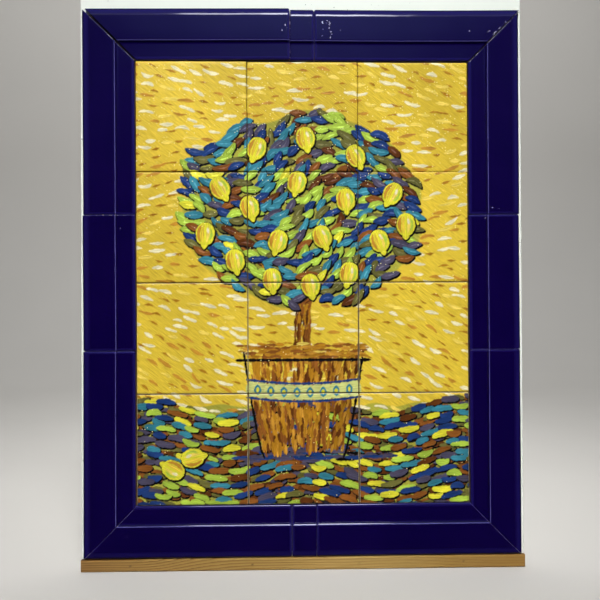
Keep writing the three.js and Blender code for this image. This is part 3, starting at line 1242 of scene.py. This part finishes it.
@dataclass
class LemonTreeDesign:
    """A stock motif for a tile panel: a lemon tree in a clay pot before a yellow ground.

    The same colours and the same size of brush mark run through all of it: short dabs on the
    ground, upright strokes on pot and trunk, leaf and paving patches with dark undersides.
    """

    width: float = 449.0
    height: float = 599.0
    crown: tuple[float, float, float, float] = (0.0, 100.0, 166.0, 134.0)
    floor_top: float = -166.0
    pot: tuple[float, float, float, float] = (-92.0, -232.0, 80.0, 54.0)
    seed: int = 20
    fruit: tuple[tuple[float, float, float], ...] = (
        (-112, 128, -60), (-62, 182, -110), (4, 196, -80), (72, 172, -65), (122, 120, -120),
        (-132, 66, -95), (-72, 102, -75), (-8, 136, -100), (58, 112, -85), (104, 56, -70),
        (-92, 30, -80), (-34, 56, -105), (26, 62, -70), (62, 12, -100), (-42, 4, -85),
        (140, 78, -90), (10, -4, -80),
    )

    def rng(self, number: int) -> np.random.Generator:
        """Return the seeded generator for one group of marks."""
        return np.random.default_rng(self.seed * 100 + number)

    def in_crown(self, x: Array, z: Array, grow: float = 0.0) -> Array:
        """Say which points lie in the crown: an ellipse with a wavy rim.

        Args:
            x: Picture X.
            z: Picture Z.
            grow: Extra reach, in millimetres.

        Returns:
            The ellipse's level minus its rim: negative inside.
        """
        cx, cz, rx, rz = self.crown
        level = np.hypot((x - cx) / (rx + grow), (z - cz) / (rz + grow))
        return level - 1 - 0.05 * ripple(x, z, 90, 3)

    def pot_half(self, z: Array) -> Array:
        """Half width of the pot at a height: it grows with the height's part to the power 0.8.

        Args:
            z: Picture Z.

        Returns:
            Half widths in millimetres.
        """
        top, bottom, wide, narrow = self.pot
        part = np.clip((z - bottom) / (top - bottom), 0, 1)
        return narrow + (wide - narrow) * part**0.8

    def background(self, x: Array, z: Array) -> tuple[Array, Array]:
        """Ground colours under the marks, and the direction of the wide brush.

        Args:
            x: Picture X (rows, columns).
            z: Picture Z (rows, columns).

        Returns:
            Linear colours (rows, columns, 3) and flow coordinates (rows, columns, 3).
        """
        sweep = 0.5 + 0.5 * ripple(x + 0.6 * z, z * 0.3, 120, 7)
        ground = Pigment.MAIZE.light() * (0.86 + 0.18 * sweep[..., None])
        inside = 1 - smooth_step(self.in_crown(x, z), -0.03, 0.0)
        paved = 1 - smooth_step(z - self.floor_top - 5 * ripple(x, 0 * z, 70, 8), -1, 1)
        moss = Pigment.MOSS.light() * (0.8 + 0.3 * sweep[..., None])
        for mask in (inside, paved):
            ground = ground + mask[..., None] * (moss - ground)
        turn = math.radians(-38)
        flow = np.stack([x * math.cos(turn) + z * math.sin(turn),
                         z * math.cos(turn) - x * math.sin(turn), 0 * x], axis=-1)
        return ground, flow

    def strokes(self) -> Strokes:
        """Return every mark of the picture in painting order."""
        return Strokes.join([self.dabs(), self.paving(), self.shade(), self.trunk(), self.clay(),
                             self.leaves(), self.lemons()])

    def scattered(self, rng: np.random.Generator, step: Pair,
                  low: float, high: float) -> tuple[Array, Array]:
        """Places in staggered rows, each moved a little.

        Args:
            rng: Seeded generator.
            step: Distances along and between rows.
            low: Lowest Z.
            high: Highest Z.

        Returns:
            X and Z of the places, from the top row down.
        """
        rows = np.arange(high, low, -step[1])
        columns = np.arange(-self.width / 2 - 10, self.width / 2 + 10, step[0])
        x, z = np.meshgrid(columns, rows)
        x = x + step[0] / 2 * (np.arange(len(rows)) % 2)[:, None]
        x = x + rng.uniform(-0.33, 0.33, x.shape) * step[0]
        z = z + rng.uniform(-0.3, 0.3, z.shape) * step[1]
        return x.ravel(), z.ravel()

    def dabs(self) -> Strokes:
        """Short dabs on the yellow ground, in rows that rise and fall like a light wind.

        Returns:
            The marks.
        """
        rng = self.rng(1)
        x, z = self.scattered(rng, (21.0, 12.5), self.floor_top - 10, self.height / 2)
        z = z + 9 * np.sin(x / 52)
        keep = self.in_crown(x, z, 4) > 0
        x, z = x[keep], z[keep]
        angle = 0.16 * np.cos(x / 52) + 0.35 * np.sin(z / 75) + rng.normal(0, 0.13, len(x))
        kind = rng.random(len(x))
        table = np.array([pigment.light() for pigment in (
            Pigment.CREAM, Pigment.OCHRE, Pigment.STRAW, Pigment.AMBER)])
        choice = np.digitize(kind, [0.34, 0.66, 0.84])
        thin = choice == 1
        length = rng.uniform(13, 24, len(x)) * np.where(thin, 0.8, 1)
        width = np.where(thin, rng.uniform(2.2, 3.2, len(x)), rng.uniform(3.4, 5.2, len(x)))
        return Strokes.make(x, z, angle, length, width, table[choice], rng.random(len(x)),
                            rng.normal(0, 1.2, len(x)), np.where(thin, 1.1, 0.6), 0.28)

    def paving(self) -> Strokes:
        """Patches of the paved floor, in rows that wave, each with a dark underside.

        Returns:
            The marks.
        """
        rng = self.rng(2)
        parts = []
        for step, sizes, shares in (
                ((14.0, 8.4), (13, 20, 5.0, 7.5),
                 {Pigment.OLIVE: 5, Pigment.UMBER: 5, Pigment.RUST: 6, Pigment.SLATE: 2}),
                ((25.5, 9.2), (18, 31, 6.6, 9.2),
                 {Pigment.NAVY: 18, Pigment.TEAL: 15, Pigment.LIME: 15, Pigment.LEMON: 11,
                  Pigment.RUST: 11, Pigment.UMBER: 4, Pigment.SLATE: 12, Pigment.OLIVE: 4})):
            x, z = self.scattered(rng, step, -self.height / 2 - 12, self.floor_top - 3)
            z = z + 11 * np.cos(x / 34)
            angle = np.arctan(-11 / 34 * np.sin(x / 34)) + rng.normal(0, 0.07, len(x))
            patches = Strokes.make(
                x, z, angle, rng.uniform(*sizes[:2], len(x)), rng.uniform(*sizes[2:], len(x)),
                self.choose(rng, len(x), shares), rng.random(len(x)),
                rng.normal(0, 1.2, len(x)), 0.42, 0.24)
            parts.append(woven([patches.shadow(1.1, -1.7, 1.2, Pigment.INK), patches]))
        return Strokes.join(parts)

    def choose(self, rng: np.random.Generator, count: int, shares: dict[Pigment, float]) -> Array:
        """Draw pigments by their shares.

        Args:
            rng: Seeded generator.
            count: How many to draw.
            shares: Pigment to share.

        Returns:
            Linear colours (count, 3).
        """
        odds = np.array(list(shares.values()), dtype=float)
        table = np.array([pigment.light() for pigment in shares])
        picked = rng.choice(len(table), count, p=odds / odds.sum())
        return table[picked] * rng.uniform(0.86, 1.12, (count, 1))

    def shade(self) -> Strokes:
        """The dark patch of shade that the pot throws on the floor.

        Returns:
            The marks.
        """
        rng = self.rng(3)
        count = 46
        x = rng.uniform(-86, 112, count)
        z = self.pot[1] - 2 + rng.uniform(-9, 7, count) * (1 - (x / 130) ** 2)
        colours = self.choose(rng, count, {
            Pigment.INK: 3, Pigment.NAVY: 3, Pigment.SLATE: 3, Pigment.UMBER: 2})
        return Strokes.make(x, z, rng.normal(0, 0.06, count), rng.uniform(20, 36, count),
                            rng.uniform(3.5, 6, count), colours, rng.random(count))

    def trunk(self) -> Strokes:
        """Upright strokes along the trunk and its three boughs.

        Returns:
            The marks.
        """
        rng = self.rng(4)
        lines = (((-3, -96), (2, -10), 11, 74), ((1, -24), (-86, 52), 6, 34),
                 ((0, -20), (-6, 120), 7, 40), ((2, -22), (84, 46), 6, 34))
        parts = []
        for (x0, z0), (x1, z1), spread, count in lines:
            part = rng.random(count)
            lean = math.atan2(z1 - z0, x1 - x0)
            side = rng.uniform(-1, 1, count) * spread * (1.15 - 0.5 * part)
            x = x0 + (x1 - x0) * part - math.sin(lean) * side
            z = z0 + (z1 - z0) * part + math.cos(lean) * side
            colours = self.choose(rng, count, {
                Pigment.UMBER: 4, Pigment.RUST: 4, Pigment.OCHRE: 3, Pigment.INK: 1})
            parts.append(Strokes.make(x, z, lean + rng.normal(0, 0.08, count),
                                      rng.uniform(14, 26, count), rng.uniform(2.6, 4.2, count),
                                      colours, rng.random(count)))
        return Strokes.join(parts)

    def clay(self) -> Strokes:
        """The pot: body, rim and painted band, all in upright and level strokes.

        Returns:
            The marks.
        """
        rng = self.rng(5)
        top, bottom, wide, _ = self.pot
        count = 620
        z = rng.uniform(bottom + 6, top - 4, count)
        part = rng.uniform(-1, 1, count)
        half = self.pot_half(z)
        slope = math.atan2(top - bottom, wide - self.pot[3])
        angle = math.pi / 2 - part * (math.pi / 2 - slope) * 1.2 + rng.normal(0, 0.05, count)
        colours = self.choose(rng, count, {
            Pigment.OCHRE: 6, Pigment.RUST: 7, Pigment.AMBER: 4, Pigment.UMBER: 3})
        shaded = np.clip(1.12 - 0.42 * np.maximum(part, 0) ** 2, 0, 2)[:, None]
        body = Strokes.make(part * (half - 2), z, angle, rng.uniform(13, 22, count),
                            rng.uniform(3.2, 5.0, count), colours * shaded, rng.random(count),
                            lift=0.22)
        return Strokes.join([self.outline(), body, self.band(rng), self.rim(rng)])

    def outline(self) -> Strokes:
        """Dark strokes that follow the pot's two sides.

        Returns:
            The marks.
        """
        z = np.tile(np.linspace(self.pot[1] + 2, self.pot[0] - 4, 13), 2)
        side = np.repeat([-1.0, 1.0], 13)
        half = self.pot_half(z)
        rise = (self.pot_half(z + 2) - self.pot_half(z - 2)) / 4
        return Strokes.make(side * (half + 1.2), z, np.arctan2(1, side * rise), 17, 3.4,
                            Pigment.INK.light(), np.linspace(0, 1, 26))

    def band(self, rng: np.random.Generator) -> Strokes:
        """A painted belt on the pot: blue lozenges between cream lines.

        Args:
            rng: Seeded generator.

        Returns:
            The belt's marks.
        """
        level = self.pot[0] - 52
        half = float(self.pot_half(np.array([level]))[0]) - 3
        x = np.linspace(-half, half, 12)
        sag = -5 * (1 - (x / half) ** 2)
        belts = []
        for offset, pigment, width in ((0, Pigment.CELADON, 22.0), (12, Pigment.NAVY, 3.2),
                                       (-12, Pigment.NAVY, 3.2)):
            belts.append(Strokes.make(x, level + sag + offset, 0.1 * x / half, 19, width,
                                      pigment.light(), rng.random(12), lift=0.2))
        gems = np.linspace(-half + 7, half - 7, 8)
        drop = -5 * (1 - (gems / half) ** 2)
        for length, width, pigment, point, lift in ((15, 9.5, Pigment.TEAL, 1.0, 0.3),
                                                    (7, 4, Pigment.LEMON, 0.8, 0.4)):
            belts.append(Strokes.make(gems, level + drop, math.pi / 2, length, width,
                                      pigment.light(), rng.random(8), point=point, lift=lift))
        return Strokes.join(belts)

    def rim(self, rng: np.random.Generator) -> Strokes:
        """The pot's thick rim: level strokes over a dark line.

        Args:
            rng: Seeded generator.

        Returns:
            The rim's marks.
        """
        top, _, wide, _ = self.pot
        under = np.linspace(-wide - 2, wide + 2, 12)
        dark = Strokes.make(under, top - 13 + 0 * under, 0.0, 20, 4.5, Pigment.INK.light(),
                            rng.random(12))
        count = 96
        x = rng.uniform(-wide - 3, wide + 3, count)
        z = top + rng.uniform(-9, 9, count)
        colours = self.choose(rng, count, {
            Pigment.OCHRE: 5, Pigment.AMBER: 4, Pigment.RUST: 4, Pigment.STRAW: 1})
        level = Strokes.make(x, z, rng.normal(0, 0.05, count), rng.uniform(12, 22, count),
                             rng.uniform(3, 4.6, count), colours, rng.random(count), lift=0.26)
        return Strokes.join([dark, level])

    def leaves(self) -> Strokes:
        """Leaf patches of the crown, each with a dark underside and a pale rib.

        Returns:
            The marks.
        """
        rng = self.rng(6)
        x, z = self.scattered(rng, (16.5, 10.5), -90, 250)
        keep = self.in_crown(x, z) < 0.0
        x, z = x[keep], z[keep]
        angle = (np.radians(38) * np.sin(x / 48 + z / 70) + np.radians(12)
                 + rng.normal(0, 0.3, len(x)))
        colours = self.choose(rng, len(x), {
            Pigment.NAVY: 19, Pigment.TEAL: 19, Pigment.LIME: 17, Pigment.OLIVE: 12,
            Pigment.SLATE: 10, Pigment.RUST: 8, Pigment.LEMON: 4, Pigment.UMBER: 4})
        length = rng.uniform(21, 32, len(x))
        leaf = Strokes.make(x, z, angle, length, rng.uniform(8, 11, len(x)), colours,
                            rng.random(len(x)), rng.normal(0, 2.0, len(x)), 0.8, 0.26)
        rib = Strokes.make(x, z, angle, 0.62 * length, 1.3, colours * 1.6 + 0.05,
                           rng.random(len(x)), leaf.bend * 0.6, 1.0, 0.34)
        return woven([leaf.shadow(1.0, -1.8, 2.0, Pigment.INK), leaf, rib])

    def lemons(self) -> Strokes:
        """Lemons: dark rim, full body with a nib, darker and lighter arcs, one pale glint.

        Returns:
            The marks.
        """
        spots = np.array(self.fruit + ((-150.0, -236.0, 12.0), (-176, -252, 150)), dtype=float)
        x, z, angle = spots[:, 0], spots[:, 1], np.radians(spots[:, 2])
        count = len(x)
        seed = np.linspace(0.05, 0.95, count)
        cos, sin = np.cos(angle), np.sin(angle)
        nib = Strokes.make(x + 15 * cos, z + 15 * sin, angle, 12, 8, Pigment.LEMON.light(),
                           seed, point=0.9)
        body = Strokes.make(x, z, angle, 31, 25, Pigment.LEMON.light(), seed, lift=0.5)
        parts = [nib.shadow(0.5, -1.0, 3.0, Pigment.INK), body.shadow(0.8, -1.2, 3.2, Pigment.INK),
                 nib, body]
        arcs = ((-7.5, 24, 4.6, 3.5, Pigment.AMBER), (-3.0, 25, 4.2, 1.6, Pigment.MAIZE),
                (3.4, 24, 4.0, -1.5, Pigment.STRAW), (7.4, 18, 3.2, -3.0, Pigment.LIME))
        for side, length, width, bend, pigment in arcs:
            parts.append(Strokes.make(x - side * sin, z + side * cos, angle, length, width,
                                      pigment.light(), seed + side, -bend, 0.9, 0.5))
        parts.append(Strokes.make(x - 4.5 * cos - 3.5 * sin, z - 4.5 * sin + 3.5 * cos,
                                  angle + 0.25, 8, 3, Pigment.CREAM.light(), seed, lift=0.6))
        return woven(parts)


@dataclass
class PictureTiles:
    """The twelve painted tiles: one picture across all of them, on tiles with soft edges."""

    size: float = 149.0
    thickness: float = 7.0
    corner: float = 1.5
    glaze: float = 0.55
    edge_slopes: tuple[Pair, ...] = (
        (0.0, 0.0), (1.4, 0.1), (2.4, 0.2), (3.1, 0.35), (3.7, 0.5), (4.1, 3.0))
    edge_lines: tuple[float, ...] = (0, 0.2, 0.45, 0.75, 1.15, 1.65, 2.3, 3.1)
    worn_rims: tuple[float, ...] = (0.0, 0.12, 0.6, 0.8)
    laid: tuple[tuple[Pair, ...], ...] = (
        ((-0.2, 0.35), (0.0, -0.35), (0.0, -0.8)), ((0.0, 0.1), (0.1, -0.1), (0.0, 0.0)),
        ((0.1, 0.0), (-0.1, 0.1), (0.0, -0.1)), ((0.0, 0.0), (0.1, 0.1), (0.1, 0.0)))
    wider: tuple[float, ...] = (0.45, 0.2, 0.1, 0.0)
    columns: int = 3
    rows: int = 4
    cells: int = 164
    design: LemonTreeDesign = field(default_factory=LemonTreeDesign)
    finish: PaintedGlaze = field(default_factory=PaintedGlaze)

    def build(self) -> None:
        """Make the twelve tiles, row by row from the top left."""
        glaze = self.finish.build()
        strokes = self.design.strokes()
        LOG.info("picture: %d brush marks", len(strokes.x))
        pitch = self.size + TILE_JOINT
        for row in range(self.rows):
            for column in range(self.columns):
                x = (column - (self.columns - 1) / 2) * pitch
                z = ((self.rows - 1) / 2 - row) * pitch
                place = f"tile_r{row + 1}_c{column + 1}"
                piece = self.tile(x, z, strokes, self.worn_rims[row], self.wider[row],
                                  self.laid[row][column], f"painted_{place}")
                dress(piece, f"picture_{place}", glaze)

    def coordinates(self) -> Array:
        """Space the grid lines across a tile, closer together over the falling edges.

        Returns:
            Coordinates from the tile's middle, in millimetres.
        """
        half = self.size / 2
        edge = np.array(self.edge_lines)
        inner = np.linspace(-half + 4, half - 4, self.cells + 1 - 2 * len(edge))
        return np.concatenate([-half + edge, inner, half - edge[::-1]])

    def tile(self, x0: float, z0: float, strokes: Strokes, worn: float, wider: float,
             shift: Pair, name: str) -> bpy.types.Object:
        """Make one tile with its share of the picture.

        The face falls towards a rim with rounded corners by the running sum of the edge's
        slopes, and the glaze marks stand on it.

        Args:
            x0: Picture X of the tile's middle.
            z0: Picture Z of the tile's middle.
            strokes: All marks of the picture.
            worn: How much of the pale body shows along the rim, from 0 to 1.
            wider: How much wider than its size the fire left the tile.
            shift: How far the tile was laid to the right and up of its place.
            name: The object's name.

        Returns:
            The tile in the row frame.
        """
        line = self.coordinates()
        x, z = np.meshgrid(line, line)
        colour, flow = self.design.background(x + x0, z + z0)
        height = 0.05 + 0.03 * np.sin(flow[..., 1] * 2.0 + 2 * np.sin(flow[..., 0] / 30))
        canvas = Canvas(line + x0, line + z0, colour, height, flow)
        canvas.lay(strokes)
        x, z, rim = self.soften(x, z)
        shown = worn * (1 - smooth_step(rim - 0.25 * ripple(x, z, 9, 21), 0.2, 1.0))
        canvas.colour += shown[..., None] * (Pigment.BODY.light() - canvas.colour)
        reach = np.linspace(0, self.edge_slopes[-1][0], 81)
        fall = np.interp(reach[-1] - rim, reach, falling(reach, self.edge_slopes))
        depth = self.thickness - self.glaze - fall + canvas.height * smooth_step(rim, 0.1, 1.4)
        front = np.stack([x * (1 + wider / self.size) + x0 + shift[0], BOARD_FACE - depth,
                          z + z0 + shift[1] + BORDER_MIDDLE], axis=-1)
        return relief_slab(name, front, BOARD_FACE,
                           {"paint": canvas.colour, "flow": canvas.flow})

    def soften(self, x: Array, z: Array) -> tuple[Array, Array, Array]:
        """Round a square grid's corners: points past the corner circle move onto it.

        Args:
            x: Grid X.
            z: Grid Z.

        Returns:
            Moved X, moved Z and the distance to the rounded rim.
        """
        straight = self.size / 2 - self.corner
        ax, az = np.abs(x) - straight, np.abs(z) - straight
        out = np.hypot(np.maximum(ax, 0), np.maximum(az, 0))
        rim = self.corner - out - np.minimum(np.maximum(ax, az), 0)
        past = (out > self.corner) & (ax > 0) & (az > 0)
        shrink = np.where(past, self.corner / np.maximum(out, 1e-9), 1.0)
        x = np.where(past, np.sign(x) * (straight + ax * shrink), x)
        z = np.where(past, np.sign(z) * (straight + az * shrink), z)
        return x, z, np.maximum(rim, 0)


@dataclass
class Studio:
    """Camera at the photograph's place, a strip of soft light above the front, pale paper."""

    camera_mm: tuple[float, float, float] = (-31.47, -1104.89, -44.62)
    pitch: float = 0.43
    yaw: float = -1.4357
    roll: float = 0.2737
    focal_px: float = 800.0
    image_px: float = 600.0
    sensor_mm: float = 36.0
    floor: float = -0.4006
    key_spread: float = 34.0
    backdrop_tilt: float = 48.0
    strips: tuple[tuple[str, float, float, float], ...] = (
        ("strip_long", 0.02, 1.06, 12.0), ("strip_core", 0.14, 0.54, 4.4),
        ("strip_tail", 0.1, 2.3, 1.1))
    strip_place: Pair = (-2.16, 2.16)
    strip_height: float = 0.3
    strip_colour: str = "#eef0ff"
    seen: str = "#7b7975"
    air: str = "#bcc0c4"
    reflected: str = "#a2b8fa"
    paper_half: float = 14.0
    paper_front: float = -3.6
    paper_reach: float = 3.4
    paper_radius: float = 1.2
    paper_top: float = 4.0

    def build(self) -> None:
        """Make the camera, the lights, the world and the floor."""
        self.camera()
        key = self.light("key", (0.1, -2.2, 2.3), (1.3, 0.8), 7.0)
        key.data.spread = math.radians(self.key_spread)
        for name, x, width, power in self.strips:
            strip = self.light(name, (x, *self.strip_place), (width, self.strip_height), power)
            strip.data.color = linear(self.strip_colour)[:3]
        backdrop = self.light("backdrop", (0.0, 1.0, 2.7), (3.0, 1.2), 70.0)
        backdrop.rotation_euler = (math.radians(self.backdrop_tilt), 0, 0)
        for unreflected in (key, backdrop):
            unreflected.visible_glossy = False
        self.world()
        self.paper()

    def camera(self) -> None:
        """Place the camera: pitch about X, then yaw about Z, roll about the view line."""
        turn = (Matrix.Rotation(math.radians(self.yaw), 3, "Z")
                @ Matrix.Rotation(math.radians(self.pitch), 3, "X")
                @ Matrix.Rotation(math.radians(self.roll), 3, "Y"))
        right, ahead, up = turn.col[0], turn.col[1], turn.col[2]
        pose = Matrix((right, up, -ahead)).transposed().to_4x4()
        pose.translation = Vector(self.camera_mm) * MM
        data = bpy.data.cameras.new("camera")
        data.sensor_width = self.sensor_mm
        data.lens = self.focal_px * self.sensor_mm / self.image_px
        data.clip_start, data.clip_end = 0.05, 50.0
        camera = bpy.data.objects.new("camera", data)
        camera.matrix_world = pose
        bpy.context.scene.collection.objects.link(camera)
        bpy.context.scene.camera = camera

    def light(self, name: str, place: tuple[float, float, float], size: Pair,
              power: float) -> bpy.types.Object:
        """Add a rectangular soft light that faces the middle of the work.

        Args:
            name: The light's name.
            place: Its middle, in metres.
            size: Its width and height, in metres.
            power: Its power in watts.

        Returns:
            The light.
        """
        data = bpy.data.lights.new(name, "AREA")
        data.shape = "RECTANGLE"
        data.size, data.size_y = size
        data.energy = power
        lamp = bpy.data.objects.new(name, data)
        lamp.location = place
        lamp.rotation_euler = (-Vector(place)).to_track_quat("-Z", "Y").to_euler()
        bpy.context.scene.collection.objects.link(lamp)
        return lamp

    def world(self) -> None:
        """A grey surround for the eye, and a dim one for light and reflections: a sky that
        brightens upward, plus a soft glow in front above the work, both dimmed behind it."""
        world = bpy.data.worlds.new("studio")
        world.use_nodes = True
        tree = world.node_tree
        tree.nodes.clear()
        way = add_node(tree, "ShaderNodeTexCoord").outputs["Generated"]
        rise = add_node(tree, "ShaderNodeSeparateXYZ", {"Vector": way}).outputs
        wide = add_node(tree, "ShaderNodeVectorMath", {0: way, 1: (3.3, 1.0, 3.3)},
                        operation="MULTIPLY")
        away = add_node(tree, "ShaderNodeVectorMath", {0: wide, 1: (0.1, -0.92, 1.42)},
                        operation="DISTANCE")
        sky, glow, front = (add_node(tree, "ShaderNodeMapRange", {
            "Value": value, "From Min": start, "From Max": end, "To Min": low, "To Max": high},
            interpolation_type="SMOOTHSTEP") for value, start, end, low, high in (
                (rise["Z"], -0.05, 0.95, 0.015, 0.4), (away, 1.0, 0.0, 0.0, 0.62),
                (rise["Y"], 0.35, -0.25, 0.1, 1.0)))
        both = add_node(tree, "ShaderNodeMath", {0: sky, 1: glow}, operation="ADD")
        light = add_node(tree, "ShaderNodeMath", {0: both, 1: front}, operation="MULTIPLY")
        path = add_node(tree, "ShaderNodeLightPath").outputs
        hue = add_node(tree, "ShaderNodeMix", {
            "Factor": path["Is Glossy Ray"], "A": linear(self.air),
            "B": linear(self.reflected)}, data_type="RGBA")
        dim, seen = (add_node(tree, "ShaderNodeBackground", {"Color": colour, "Strength": power})
                     for colour, power in ((hue, light), (linear(self.seen), 1.0)))
        shown = add_node(tree, "ShaderNodeMixShader", {0: path["Is Camera Ray"], 1: dim, 2: seen})
        add_node(tree, "ShaderNodeOutputWorld", {"Surface": shown})
        bpy.context.scene.world = world

    def paper(self) -> None:
        """Lay the paper: a floor that sweeps up in a quarter circle far behind the work."""
        radius, reach = self.paper_radius, self.paper_reach
        bend = np.linspace(0, math.pi / 2, 17)
        y = np.concatenate([[self.paper_front], reach - radius + radius * np.sin(bend), [reach]])
        z = np.concatenate([[0.0], radius - radius * np.cos(bend), [self.paper_top]]) + self.floor
        x = np.repeat([-self.paper_half, self.paper_half], len(y))
        points = np.stack([x, np.tile(y, 2), np.tile(z, 2)], axis=-1)
        step = np.arange(len(y) - 1)
        faces = np.stack([step, step + len(y), step + len(y) + 1, step + 1], axis=-1)
        mesh = bpy.data.meshes.new("studio_paper")
        mesh.from_pydata(points.tolist(), [], faces.tolist())
        mesh.polygons.foreach_set("use_smooth", np.ones(len(faces), dtype=bool))
        mesh.materials.append(StudioPaper().build())
        paper = bpy.data.objects.new("studio_paper", mesh)
        paper.visible_glossy = False
        bpy.context.scene.collection.objects.link(paper)


def main() -> None:
    """Build every sub-assembly in order and report it."""
    logging.basicConfig(level=logging.INFO, format="%(name)s: %(message)s")
    bpy.context.scene.view_settings.view_transform = "Standard"
    Studio().build()
    BackingBoard().build()
    LedgeBatten().build()
    Border().build()
    PictureTiles().build()


if __name__ == "__main__":
    main()
